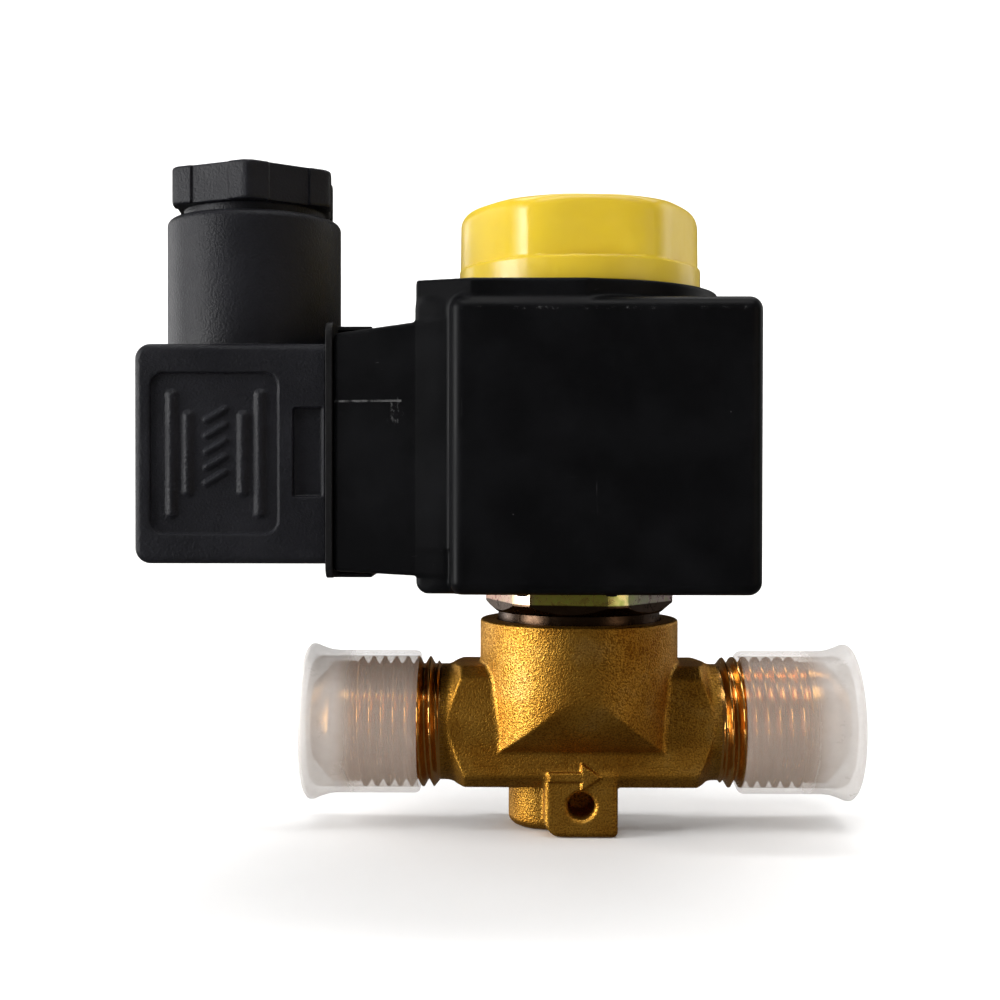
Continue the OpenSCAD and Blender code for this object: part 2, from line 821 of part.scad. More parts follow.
valve_body();
tube_nut();
armature_tube();
tube_seal();
fixed_core();
shading_ring();
plunger_spring();
plunger();
plunger_seal();
coil_housing();
coil_bobbin();
coil_winding();
coil_yoke();
line_blades();
earth_blade();
screw_insert();
coil_base_gasket();
nut_gasket();
coil_nut();
connector_housing();
terminal_block();
line_sockets();
earth_socket();
terminal_screws();
profile_gasket();
gland_grommet();
gland_washer();
gland_nut();
screw_seal();
centre_screw();
inlet_cap();
outlet_cap();
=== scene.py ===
import json
import math

import bmesh
import bpy
import numpy as np
from mathutils import Matrix, Vector


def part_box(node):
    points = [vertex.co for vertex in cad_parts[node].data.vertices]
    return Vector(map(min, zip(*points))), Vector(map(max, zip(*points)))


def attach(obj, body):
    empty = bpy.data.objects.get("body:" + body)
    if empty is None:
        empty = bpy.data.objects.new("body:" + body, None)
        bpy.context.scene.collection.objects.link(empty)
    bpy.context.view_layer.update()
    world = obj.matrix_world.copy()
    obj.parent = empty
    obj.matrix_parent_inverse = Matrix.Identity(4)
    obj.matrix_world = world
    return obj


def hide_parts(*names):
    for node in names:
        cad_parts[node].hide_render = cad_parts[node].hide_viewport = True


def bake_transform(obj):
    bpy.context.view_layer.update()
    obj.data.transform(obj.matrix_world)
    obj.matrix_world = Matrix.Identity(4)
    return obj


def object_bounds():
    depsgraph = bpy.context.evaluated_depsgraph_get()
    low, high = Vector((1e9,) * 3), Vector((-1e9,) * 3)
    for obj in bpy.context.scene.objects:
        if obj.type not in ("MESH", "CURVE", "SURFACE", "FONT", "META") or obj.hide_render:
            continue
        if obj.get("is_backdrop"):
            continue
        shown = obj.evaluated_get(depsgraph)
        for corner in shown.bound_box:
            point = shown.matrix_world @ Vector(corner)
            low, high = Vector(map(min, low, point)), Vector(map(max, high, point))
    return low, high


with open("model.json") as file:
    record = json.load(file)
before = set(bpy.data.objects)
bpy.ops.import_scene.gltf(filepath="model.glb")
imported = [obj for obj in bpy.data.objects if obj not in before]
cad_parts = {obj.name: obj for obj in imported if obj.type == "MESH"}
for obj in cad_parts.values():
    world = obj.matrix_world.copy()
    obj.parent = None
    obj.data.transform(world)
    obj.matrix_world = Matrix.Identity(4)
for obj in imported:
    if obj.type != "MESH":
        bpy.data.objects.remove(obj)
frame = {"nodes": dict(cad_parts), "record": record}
cad_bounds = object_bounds()
MM = 0.001


def box_mm(node):
    """The node's lowest and highest corner in millimetres."""
    low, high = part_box(node)
    return [v / MM for v in low], [v / MM for v in high]


# ---- shapes as distance fields, in millimetres ------------------------------------------


def join(a, b, k):
    """Union with a fillet of about k."""
    h = np.maximum(k - np.abs(a - b), 0) / k
    return np.minimum(a, b) - h * h * k / 4


def meet(a, b, k):
    """Intersection with its edge rounded by about k."""
    return -join(-a, -b, k)


def cut(a, b, k):
    """a without b, with the edge rounded by about k."""
    return meet(a, -b, k)


def meet_all(k, *parts):
    """Intersection of all the parts."""
    out = parts[0]
    for part in parts[1:]:
        out = meet(out, part, k)
    return out


def slab(v, low, high):
    """Distance outside the layer low..high along one coordinate."""
    return np.maximum(low - v, v - high)


def rounded(dx, dy, r):
    """Corner of two slabs, rounded to radius r."""
    outer = np.sqrt(np.maximum(dx + r, 0) ** 2 + np.maximum(dy + r, 0) ** 2)
    return outer + np.minimum(np.maximum(dx, dy) + r, 0) - r


def rounded_box(x, y, z, low, high, r):
    """Box low..high with all its edges rounded to radius r."""
    q = [slab(v, a, b) + r for v, a, b in zip((x, y, z), low, high)]
    outer = np.sqrt(sum(np.maximum(v, 0) ** 2 for v in q))
    return outer + np.minimum(np.maximum(np.maximum(q[0], q[1]), q[2]), 0) - r


def rod(radial, along, radius, low, high, edge):
    """Cylinder with rounded rims: radial is the distance from its axis, along the distance on it."""
    return rounded(radial - radius, slab(along, low, high), edge)


def capsule(x, y, z, a, b, r):
    """Round-ended bar from a to b."""
    ax, ay, az = (q - p for p, q in zip(a, b))
    px, py, pz = x - a[0], y - a[1], z - a[2]
    t = np.clip((px * ax + py * ay + pz * az) / (ax * ax + ay * ay + az * az), 0, 1)
    return np.sqrt((px - t * ax) ** 2 + (py - t * ay) ** 2 + (pz - t * az) ** 2) - r


def hexagon(x, y, flat, turn):
    """Distance outside a hexagon's flats; a corner points along turn, in degrees."""
    out = None
    for i in range(6):
        a = math.radians(turn + 30 + 60 * i)
        side = x * math.cos(a) + y * math.sin(a) - flat
        out = side if out is None else np.maximum(out, side)
    return out


# ---- meshes -----------------------------------------------------------------------------


def gradient(field, p):
    """Slope of the field at the points p, from steps of h to each side."""
    h = 0.01
    g = np.empty_like(p)
    for i in range(3):
        up, down = p.copy(), p.copy()
        up[:, i] += h
        down[:, i] -= h
        g[:, i] = (field(*up.T) - field(*down.T)) / (2 * h)
    return g


def net_mesh(name, field, low, high, step):
    """Closed mesh of field = 0 inside the box: one point per crossed cell, moved onto the surface."""
    axes = [np.arange(a - 1.5 * step, b + 2.5 * step, step) for a, b in zip(low, high)]
    value = np.empty([len(a) for a in axes])
    for start in range(0, len(axes[0]), 24):
        part = axes[0][start:start + 24]
        grid = np.meshgrid(part, axes[1], axes[2], indexing="ij")
        value[start:start + 24] = field(*grid)
    inside = value < 0
    cells = [n - 1 for n in value.shape]
    corner = lambda arr, i, j, k: arr[i:i + cells[0], j:j + cells[1], k:k + cells[2]]
    corners = [(i, j, k) for i in (0, 1) for j in (0, 1) for k in (0, 1)]
    count = sum(corner(inside, *c).astype(np.int8) for c in corners)
    mixed = (count > 0) & (count < 8)
    where = np.argwhere(mixed)
    index = np.full(cells, -1)
    index[mixed] = np.arange(len(where))
    total = np.zeros((len(where), 3))
    crossings = np.zeros(len(where))
    for a in corners:
        for axis in range(3):
            if a[axis]:
                continue
            b = tuple(1 if n == axis else v for n, v in enumerate(a))
            va = value[tuple((where + a).T)]
            vb = value[tuple((where + b).T)]
            hit = (va < 0) != (vb < 0)
            t = np.where(hit, va / np.where(hit, va - vb, 1), 0)
            at = np.array(a, float) + t[:, None] * (np.array(b) - np.array(a))
            total += at * hit[:, None]
            crossings += hit
    start = np.array([a[0] for a in axes])
    points = start + (where + total / crossings[:, None]) * step
    for _ in range(3):
        g = gradient(field, points)
        d = field(*points.T)
        move = d[:, None] * g / np.maximum((g * g).sum(1), 0.05)[:, None]
        points -= np.clip(move, -0.5 * step, 0.5 * step)
    faces = []
    for axis in range(3):
        u, v = [n for n in range(3) if n != axis]
        here = [slice(1, -1)] * 3
        here[axis] = slice(0, -1)
        nxt = list(here)
        nxt[axis] = slice(1, None)
        a, b = inside[tuple(here)], inside[tuple(nxt)]
        at = np.argwhere(a != b) + np.array([0 if n == axis else 1 for n in range(3)])
        out = a[a != b]
        quad = []
        for du, dv in ((0, 0), (1, 0), (1, 1), (0, 1)):
            c = at.copy()
            c[:, u] -= du
            c[:, v] -= dv
            quad.append(index[tuple(c.T)])
        quad = np.array(quad).T
        flip = out if axis == 1 else ~out
        quad[flip] = quad[flip][:, ::-1]
        faces.append(quad)
    faces = np.concatenate(faces)
    mesh = bpy.data.meshes.new(name)
    mesh.from_pydata((points * MM).tolist(), [], faces.tolist())
    mesh.validate()
    obj = bpy.data.objects.new(name, mesh)
    bpy.context.scene.collection.objects.link(obj)
    thin_flats(obj)
    place = np.empty(len(obj.data.vertices) * 3)
    obj.data.vertices.foreach_get("co", place)
    g = gradient(field, place.reshape(-1, 3) / MM)
    g /= np.maximum(np.linalg.norm(g, axis=1), 1e-9)[:, None]
    obj.data.polygons.foreach_set("use_smooth", [True] * len(obj.data.polygons))
    obj.data.normals_split_custom_set_from_vertices(g.tolist())
    return obj


def thin_flats(obj):
    """Joins the faces that lie in one plane."""
    m = obj.modifiers.new("flats", "DECIMATE")
    m.decimate_type = "DISSOLVE"
    m.angle_limit = math.radians(0.25)
    graph = bpy.context.evaluated_depsgraph_get()
    mesh = bpy.data.meshes.new_from_object(obj.evaluated_get(graph))
    obj.modifiers.remove(m)
    obj.data = mesh


def weld(mesh):
    """Merges points that lie together, so that a ring shrunk to a point closes the mesh there."""
    bm = bmesh.new()
    bm.from_mesh(mesh)
    bmesh.ops.remove_doubles(bm, verts=bm.verts, dist=0.025 * MM)
    loose = [edge for edge in bm.edges if not edge.link_faces]
    bmesh.ops.delete(bm, geom=loose, context="EDGES")
    bm.to_mesh(mesh)
    bm.free()


def grid_mesh(name, rows):
    """Skin of quads through rows of points; each row is a ring. Metres."""
    rows = np.asarray(rows)
    count, n = rows.shape[:2]
    mesh = bpy.data.meshes.new(name)
    i, j = np.meshgrid(np.arange(count - 1), np.arange(n), indexing="ij")
    k = (j + 1) % n
    quads = np.stack([i * n + j, i * n + k, (i + 1) * n + k, (i + 1) * n + j], -1).reshape(-1, 4)
    mesh.from_pydata(rows.reshape(-1, 3).tolist(), [], quads.tolist())
    weld(mesh)
    mesh.polygons.foreach_set("use_smooth", [True] * len(mesh.polygons))
    obj = bpy.data.objects.new(name, mesh)
    bpy.context.scene.collection.objects.link(obj)
    return obj


def sharpen(obj, degrees):
    """Edges steeper than this show as edges."""
    obj.data.set_sharp_from_angle(angle=math.radians(degrees))


def rounded_profile(points, radius, steps=4):
    """The open outline with each inner corner rounded."""
    out = [points[0]]
    for before, at, after in zip(points, points[1:], points[2:]):
        at = np.array(at, float)
        a, b = np.array(before) - at, np.array(after) - at
        la, lb = np.linalg.norm(a), np.linalg.norm(b)
        r = min(radius, 0.45 * la, 0.45 * lb)
        start, end = at + a / la * r, at + b / lb * r
        for i in range(steps + 1):
            t = i / steps
            out.append(tuple((1 - t) ** 2 * start + 2 * t * (1 - t) * at + t * t * end))
    out.append(points[-1])
    return out


def lathe(name, profile, axis, centre=(0, 0, 0), sides=128):
    """Turns (radius, distance along axis) points about an axis through centre, in millimetres."""
    turn = np.linspace(0, 2 * math.pi, sides, endpoint=False)
    rows = []
    to = Vector(axis).to_track_quat("Z", "Y").to_matrix()
    for r, h in profile:
        ring = np.stack([r * np.cos(turn), r * np.sin(turn), np.full(sides, h)], 1)
        rows.append((ring @ np.array(to).T + np.array(centre)) * MM)
    return grid_mesh(name, rows)


# ---- materials --------------------------------------------------------------------------


class Surface:
    """A Principled material with textures laid out in millimetres of the object frame."""

    def __init__(self, name, color, rough, metal=0.0, **inputs):
        self.mat = bpy.data.materials.new(name)
        self.mat.use_nodes = True
        self.tree = self.mat.node_tree
        self.bsdf = self.tree.nodes["Principled BSDF"]
        self.set("Base Color", (*color, 1))
        self.set("Roughness", rough)
        self.set("Metallic", metal)
        for key, value in inputs.items():
            self.set(key.replace("_", " "), value)
        place = self.node("ShaderNodeTexCoord")
        self.scale = self.node("ShaderNodeMapping")
        self.scale.inputs["Scale"].default_value = (1000, 1000, 1000)
        self.link(place.outputs["Object"], self.scale.inputs["Vector"])
        self.height = None

    def node(self, kind, **props):
        n = self.tree.nodes.new(kind)
        for key, value in props.items():
            setattr(n, key, value)
        return n

    def link(self, a, b):
        self.tree.links.new(a, b)

    def set(self, socket, value):
        self.bsdf.inputs[socket].default_value = value

    def stretch(self, scale):
        """Coordinates in millimetres, scaled on each axis."""
        m = self.node("ShaderNodeMapping")
        m.inputs["Scale"].default_value = scale
        self.link(self.scale.outputs[0], m.inputs["Vector"])
        return m.outputs[0]

    def noise(self, scale, detail=2.0, rough=0.5, stretch=None, distortion=0.0):
        """Noise with so many cells to the millimetre, 0 to 1 and mostly near a half."""
        n = self.node("ShaderNodeTexNoise")
        n.inputs["Scale"].default_value = scale
        n.inputs["Detail"].default_value = detail
        n.inputs["Roughness"].default_value = rough
        n.inputs["Distortion"].default_value = distortion
        source = self.stretch(stretch) if stretch else self.scale.outputs[0]
        self.link(source, n.inputs["Vector"])
        return n.outputs["Fac"]

    def ramp(self, fac, stops):
        """fac through a band of (place, colour or grey) stops."""
        n = self.node("ShaderNodeValToRGB")
        band = n.color_ramp
        while len(band.elements) < len(stops):
            band.elements.new(0.5)
        for e, (at, color) in zip(band.elements, stops):
            e.position = at
            e.color = (*color, 1) if isinstance(color, tuple) else (color, color, color, 1)
        self.link(fac, n.inputs["Fac"])
        return n.outputs["Color"]

    def color(self, fac, stops):
        """A ramp as the base colour."""
        self.tint(self.ramp(fac, stops))

    def blend(self, fac, a, b, mode="MIX"):
        """a and b mixed, or multiplied, by fac. Each is an output or a colour; fac may be a number."""
        n = self.node("ShaderNodeMix", data_type="RGBA", blend_type=mode)
        for source, socket in ((fac, n.inputs["Factor"]), (a, n.inputs[6]), (b, n.inputs[7])):
            if isinstance(source, tuple):
                socket.default_value = (*source, 1)
            elif isinstance(source, float):
                socket.default_value = source
            else:
                self.link(source, socket)
        return n.outputs[2]

    def tint(self, source):
        """Makes source the base colour."""
        self.link(source, self.bsdf.inputs["Base Color"])

    def remap(self, fac, start, end, low=0.0, high=1.0, kind="LINEAR"):
        """fac's range start..end stretched to low..high, and clamped."""
        n = self.node("ShaderNodeMapRange", interpolation_type=kind)
        n.inputs["From Min"].default_value = start
        n.inputs["From Max"].default_value = end
        n.inputs["To Min"].default_value = low
        n.inputs["To Max"].default_value = high
        self.link(fac, n.inputs["Value"])
        return n.outputs[0]

    def along(self, axis):
        """The distance along an axis, in millimetres."""
        split = self.node("ShaderNodeSeparateXYZ")
        self.link(self.scale.outputs[0], split.inputs[0])
        return split.outputs[axis]

    def window(self, axis, low, high, soft):
        """1 between low and high along an axis, in millimetres, with soft ends."""
        at = self.along(axis)
        rise = self.remap(at, low - soft, low, kind="SMOOTHSTEP")
        fall = self.remap(at, high + soft, high, kind="SMOOTHSTEP")
        return self.product(rise, fall)

    def product(self, first, *others):
        """All the values multiplied."""
        for other in others:
            n = self.node("ShaderNodeMath", operation="MULTIPLY")
            self.link(first, n.inputs[0])
            self.link(other, n.inputs[1])
            first = n.outputs[0]
        return first

    def roughness(self, fac, low, high):
        """Roughness from low to high, over the middle of a noise."""
        self.link(self.remap(fac, 0.3, 0.7, low, high), self.bsdf.inputs["Roughness"])

    def bump(self, fac, depth_mm, strength=1.0):
        """Adds fine relief to the relief that is there."""
        n = self.node("ShaderNodeBump")
        n.inputs["Distance"].default_value = depth_mm * MM
        n.inputs["Strength"].default_value = strength
        self.link(fac, n.inputs["Height"])
        if self.height is not None:
            self.link(self.height, n.inputs["Normal"])
        self.height = n.outputs[0]
        self.link(self.height, self.bsdf.inputs["Normal"])


def forged_brass():
    s = Surface("forged_brass", (0.5, 0.33, 0.1), 0.4, 1.0)
    cloud = s.noise(0.16, 3.0, 0.55)
    tone = s.ramp(cloud, [
        (0.30, (0.54, 0.25, 0.030)), (0.55, (0.68, 0.36, 0.055)), (0.75, (0.75, 0.45, 0.12)),
    ])
    grain = s.noise(4.6, 1.5, 0.6)
    grain_tone = s.ramp(grain, [(0.36, (0.42, 0.33, 0.22)), (0.58, (1.0, 1.0, 1.0))])
    s.tint(s.blend(0.8, tone, grain_tone, "MULTIPLY"))
    s.roughness(grain, 0.58, 0.41)
    s.bump(grain, 0.10, 0.9)
    s.bump(s.noise(1.1, 2.0, 0.5), 0.05, 0.5)
    return s.mat


def turned_brass():
    s = Surface("turned_brass", (0.72, 0.45, 0.16), 0.2, 1.0)
    cloud = s.noise(0.25, 3.0, 0.5)
    s.color(cloud, [(0.3, (0.68, 0.30, 0.06)), (0.7, (0.86, 0.48, 0.14))])
    lines = s.noise(1.0, 2.0, 0.6, stretch=(14, 0.4, 0.4))
    s.roughness(lines, 0.20, 0.28)
    s.bump(lines, 0.005, 0.4)
    return s.mat


def passivated_steel():
    s = Surface("passivated_steel", (0.5, 0.48, 0.25), 0.28, 1.0)
    # the plating's tint is laid from left to right across the nut, one colour for each flat, so it paints
    # each flat's light and shade as well as the plating's colour, and the bright band near the right-hand
    # corner is a painted highlight; the collar down in the seat is painted dark, as painted shade
    across = s.remap(s.along(0), -12, 12)
    tint = s.ramp(across, [
        (0.0, (0.48, 0.27, 0.21)), (0.22, (0.58, 0.42, 0.33)), (0.28, (0.74, 0.70, 0.16)),
        (0.60, (0.70, 0.68, 0.14)), (0.68, (0.92, 0.96, 0.42)),
        (0.80, (0.60, 0.58, 0.48)), (1.0, (0.6, 0.45, 0.5)),
    ])
    cloud = s.noise(0.9, 4.0, 0.6, distortion=0.6)
    patch = s.ramp(cloud, [(0.35, (0.75, 0.55, 0.62)), (0.5, (1.0, 1.0, 1.0)), (0.7, (0.80, 1.0, 0.62))])
    # painted shade: the collar sunk in the neck's seat is made dark
    seat_painted_shade = s.window(2, 0, 15.1, 0.15)
    s.tint(s.blend(seat_painted_shade, s.blend(0.8, tint, patch, "MULTIPLY"), (0.060, 0.036, 0.022)))
    s.roughness(cloud, 0.2, 0.4)
    s.bump(s.noise(3.0, 3.0, 0.6), 0.02, 0.4)
    return s.mat


def steel(name, color, rough, lines=(0.5, 0.5, 9)):
    """Turned or drawn metal, with fine marks along its make."""
    s = Surface(name, color, rough, 1.0)
    mark = s.noise(1.0, 3.0, 0.6, stretch=lines)
    dark = tuple(v * 0.82 for v in color)
    s.color(mark, [(0.3, dark), (0.7, color)])
    s.roughness(mark, rough * 0.8, rough * 1.3)
    s.bump(mark, 0.008, 0.5)
    return s.mat


def black_plastic(name, color, rough, shine, grain_scale, grain_mm, rub):
    """Moulded black plastic: fine grain, with paler rubbed places."""
    s = Surface(name, color, rough)
    s.set("Specular IOR Level", shine)
    wide = s.noise(0.12, 4.0, 0.6)
    rubbed = tuple(v * rub for v in color)
    s.color(wide, [(0.42, color), (0.8, rubbed)])
    s.roughness(wide, rough * 0.9, rough * 1.2)
    s.bump(s.noise(grain_scale, 2.0, 0.6), grain_mm, 0.6)
    return s


def coil_plastic():
    s = black_plastic("coil_plastic", (0.0022, 0.0023, 0.0028), 0.40, 0.08, 4.0, 0.006, 2.0)
    # hairline scratches in two directions
    marks = []
    for stretch, bend in (((0.9, 0.9, 0.03), 0.3), ((0.03, 0.9, 0.8), 1.1)):
        fine = s.noise(2.2, 4.0, 0.6, stretch=stretch, distortion=bend)
        marks.append(s.ramp(fine, [(0.72, 0.0), (0.80, 0.22)]))
    # specks of dust
    dust = s.node("ShaderNodeTexVoronoi")
    dust.inputs["Scale"].default_value = 0.28
    s.link(s.scale.outputs[0], dust.inputs["Vector"])
    marks.append(s.ramp(dust.outputs["Distance"], [(0.0, 0.5), (0.028, 0.0)]))
    # a pale line at the mould's witness line, partly wear and partly a painted highlight of the small step
    # there; a scuff by the connector; and pale marks along the panels' top edge, partly wear and partly a
    # painted highlight of the rounded edge
    # painted highlight with patchy wear: the pale line along the step
    patchy = s.ramp(s.noise(0.8, 5.0, 0.7), [(0.40, 0.05), (0.62, 0.55)])
    step_line_highlight_and_wear = s.product(s.window(2, 38.5, 38.68, 0.05), s.window(0, -40, -20.7, 0.1), patchy)
    rough = s.ramp(s.noise(1.7, 5.0, 0.7, stretch=(1, 1, 0.5)), [(0.52, 0.0), (0.66, 0.5)])
    scuff = s.product(s.window(2, 36.6, 38.5, 0.9), s.window(0, -21.8, -20.8, 0.6), rough)
    # painted highlight with wear: pale marks along the panels' top edge
    rare = s.ramp(s.noise(0.9, 5.0, 0.75), [(0.55, 0.0), (0.70, 0.35)])
    edge_highlight_and_wear = s.product(s.window(2, 48.55, 48.8, 0.1), s.window(0, -14, 19.7, 1.0), rare)
    marks += [step_line_highlight_and_wear, scuff, edge_highlight_and_wear]
    base = s.bsdf.inputs["Base Color"].links[0].from_socket
    for mark in marks:
        base = s.blend(mark, base, (0.15, 0.15, 0.15))
    s.tint(base)
    return s.mat


def connector_plastic():
    return black_plastic("connector_plastic", (0.0055, 0.0057, 0.0080), 0.44, 0.19, 3.6, 0.16, 1.5).mat


def yellow_plastic():
    s = Surface("yellow_plastic", (0.61, 0.43, 0.02), 0.34)
    s.set("Subsurface Weight", 0.12)
    s.set("Subsurface Radius", (0.0016, 0.0011, 0.0003))
    s.set("Subsurface Scale", 1.0)
    wide = s.noise(0.10, 3.0, 0.5)
    s.color(wide, [(0.3, (0.57, 0.395, 0.015)), (0.7, (0.63, 0.450, 0.020))])
    s.roughness(s.noise(0.7, 3.0, 0.6), 0.28, 0.40)
    s.bump(s.noise(0.30, 2.0, 0.5), 0.012, 0.3)
    return s.mat


def rubber():
    s = Surface("black_rubber", (0.004, 0.004, 0.0045), 0.6, Specular_IOR_Level=0.2)
    s.bump(s.noise(5.0, 2.0, 0.6), 0.01, 0.5)
    s.roughness(s.noise(0.6, 3.0, 0.6), 0.5, 0.75)
    return s.mat


def plain_plastic(name, color, rough):
    """Moulded plastic or rubber of one colour, with an uneven gloss."""
    s = Surface(name, color, rough)
    s.roughness(s.noise(0.8, 3.0, 0.6), rough * 0.85, rough * 1.15)
    s.bump(s.noise(3.0, 2.0, 0.6), 0.01, 0.4)
    return s.mat


def milky_polyethylene():
    """The thread caps' translucent plastic."""
    s = Surface("milky_polyethylene", (0.60, 0.50, 0.43), 0.34)
    cloud = s.noise(0.35, 4.0, 0.6)
    s.roughness(cloud, 0.25, 0.45)
    # thin and clear over the thread, thick and white towards the closed end
    thin = s.window(0, -26.6, 26.6, 3.4)
    s.tint(s.blend(thin, (0.66, 0.62, 0.585), (0.60, 0.50, 0.42)))
    haze = s.ramp(thin, [(0.0, 0.52), (1.0, 0.31)])
    streaks = s.ramp(cloud, [(0.3, 0.88), (0.7, 1.0)])
    s.link(s.product(haze, streaks), s.bsdf.inputs["Alpha"])
    s.bump(s.noise(0.4, 2.0, 0.5), 0.03, 0.25)
    return s.mat


def copper():
    """Wound wire, its turns stacked along Z."""
    s = Surface("copper_wire", (0.55, 0.2, 0.08), 0.3, 1.0)
    turns = s.noise(1.0, 0.0, 0.5, stretch=(0.1, 0.1, 5))
    s.color(turns, [(0.35, (0.32, 0.10, 0.04)), (0.65, (0.62, 0.25, 0.11))])
    s.bump(turns, 0.06, 0.8)
    return s.mat


MATERIALS = {
    "forged_brass": forged_brass(),
    "machined_brass": turned_brass(),
    "passivated_steel": passivated_steel(),
    "stainless": steel("stainless", (0.60, 0.60, 0.58), 0.28),
    "magnetic_steel": steel("magnetic_steel", (0.42, 0.42, 0.41), 0.36),
    "copper": copper(),
    "tinned_brass": steel("tinned_brass", (0.66, 0.66, 0.62), 0.3, (6, 0.5, 0.5)),
    "plated_steel": steel("plated_steel", (0.66, 0.65, 0.60), 0.22, (6, 1, 1)),
    "coil_plastic": coil_plastic(),
    "connector_plastic": connector_plastic(),
    "bobbin_plastic": plain_plastic("bobbin_plastic", (0.62, 0.58, 0.46), 0.45),
    "yellow_plastic": yellow_plastic(),
    "black_rubber": rubber(),
    "white_seal": plain_plastic("white_seal", (0.85, 0.84, 0.80), 0.4),
    "clear_polyethylene": milky_polyethylene(),
}

for row in frame["record"]["subparts"]:
    obj = frame["nodes"][row["node"]]
    obj.data.materials.clear()
    obj.data.materials.append(MATERIALS[row["material_slot"]])


def finish_piece(obj, body, slot, *nodes):
    """Gives a piece its material, its body, and the CAD nodes that it stands for."""
    obj.data.materials.clear()
    obj.data.materials.append(MATERIALS[slot])
    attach(obj, body)
    if nodes:
        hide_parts(*nodes)
    return obj


# ---- valve body -------------------------------------------------------------------------

PORT_END = box_mm("valve_body")[1][0]
NECK_TOP = box_mm("valve_body")[1][2]
LOWEST = box_mm("valve_body")[0][2]
NECK_R = 12.1
BLOCK_HALF = 15.65
BORE_R = 4.0
ROOT_R = 7.07
CREST_R = 7.94
# the neck's underside: part of an elliptical cylinder about this height, this deep
UNDER_Z = 5.44
UNDER_DEPTH = 9.9
BLOCK_TOP = 7.4
BLOCK_LOW = -6.9
PAD_HALF = 4.35
PAD_FRONT = -7.8
HOLE_Z = -8.75
HOLE_R = 1.62
SEAT_R = 1.5
PITCH = 1.411
THREAD_START = 17.2
THREAD_TURNS = 7


def forging(x, y, z):
    """Neck, wrench block, port stubs, pad, lower boss and flow arrow, with the bores cut."""
    ax, ay = np.abs(x), np.abs(y)
    r = np.sqrt(x * x + y * y)
    rx = np.sqrt(y * y + z * z)
    # neck: a cylinder whose underside is part of an elliptical cylinder along X
    neck = meet(r - NECK_R, z - NECK_TOP, 0.35)
    below = np.minimum(z - UNDER_Z, 0)
    k0 = np.sqrt((y / NECK_R) ** 2 + (below / UNDER_DEPTH) ** 2)
    k1 = np.sqrt((y / NECK_R ** 2) ** 2 + (below / UNDER_DEPTH ** 2) ** 2)
    under = k0 * (k0 - 1) / np.maximum(k1, 1e-6)
    neck = meet(neck, under, 0.15)
    # wrench block with leaning sides and turned ends
    block = meet_all(
        0.35,
        z - BLOCK_TOP,
        BLOCK_LOW - z,
        0.9913 * ay + 0.1316 * z - 6.922,
        0.640 * ay + 0.768 * z - 8.62,
        0.731 * ay - 0.682 * z - 9.313,
    )
    block = meet(block, np.maximum(0.8 * ax + 0.6 * rx - 16.65, ax - BLOCK_HALF), 0.2)
    stub = rounded(rx - ROOT_R, ax - 16.9, 0.1)
    body = join(join(block, neck, 0.45), stub, 0.5)
    # mounting pad, lower boss and flow arrow
    pad = rounded_box(x, y, z, (-PAD_HALF, PAD_FRONT, LOWEST + 0.02), (PAD_HALF, -1.5, -4.7), 0.65)
    pad = meet(pad, (-x - z - PAD_HALF + LOWEST + 1.25) * 0.7071, 0.5)
    body = join(body, pad, 0.45)
    boss_r = np.sqrt((x + 3.6) ** 2 + (y - 0.4) ** 2)
    body = join(body, rod(boss_r, z, 5.0, LOWEST, -3, 1.1), 0.5)
    shaft = np.maximum(slab(x, -3.9, 0.3), slab(z, -5.9, -4.75))
    head = np.maximum(-0.05 - x, 0.58 * x + 0.814 * np.abs(z + 5.32) - 1.36)
    arrow = meet(np.minimum(shaft, head), slab(y, -8.08, -6), 0.3)
    body = join(body, arrow, 0.22)
    # machined bores
    hole_r = np.sqrt(x * x + (z - HOLE_Z) ** 2)
    hole = np.maximum(hole_r - HOLE_R - np.clip(PAD_FRONT + 0.3 - y, 0, 0.3) * 1.1, y + 1.8)
    body = cut(body, hole, 0.12)
    seat = np.maximum(r - 10, 9.4 - z)
    seat = np.minimum(seat, np.maximum(r - 9, 7.2 - z))
    seat = np.minimum(seat, np.maximum(r - 7.5, 6.6 - z))
    seat = np.minimum(seat, np.maximum(np.abs(r - 5.25) - 2.25, slab(z, 5.2, 7)))
    body = cut(body, seat, 0.2)
    bores = np.minimum(np.maximum(rx - BORE_R, x + 5), np.maximum(rx - BORE_R, -x - 1.6))
    bores = np.minimum(bores, np.maximum(r - SEAT_R, -z))
    return np.maximum(cut(body, bores, 0.2), LOWEST - z)


low, high = box_mm("valve_body")
body = net_mesh("body_forging", forging, (-17, low[1], low[2]), (17, high[1], high[2]), 0.22)
finish_piece(body, "valve", "forged_brass", "valve_body")


def thread_height(u):
    """Height of a 60 degree thread above its root, u turns from a crest."""
    off = np.abs((u + 0.5) % 1 - 0.5) * PITCH
    return np.clip((CREST_R - ROOT_R) - np.maximum(off - 0.09, 0) * math.tan(math.radians(60)), 0, None)


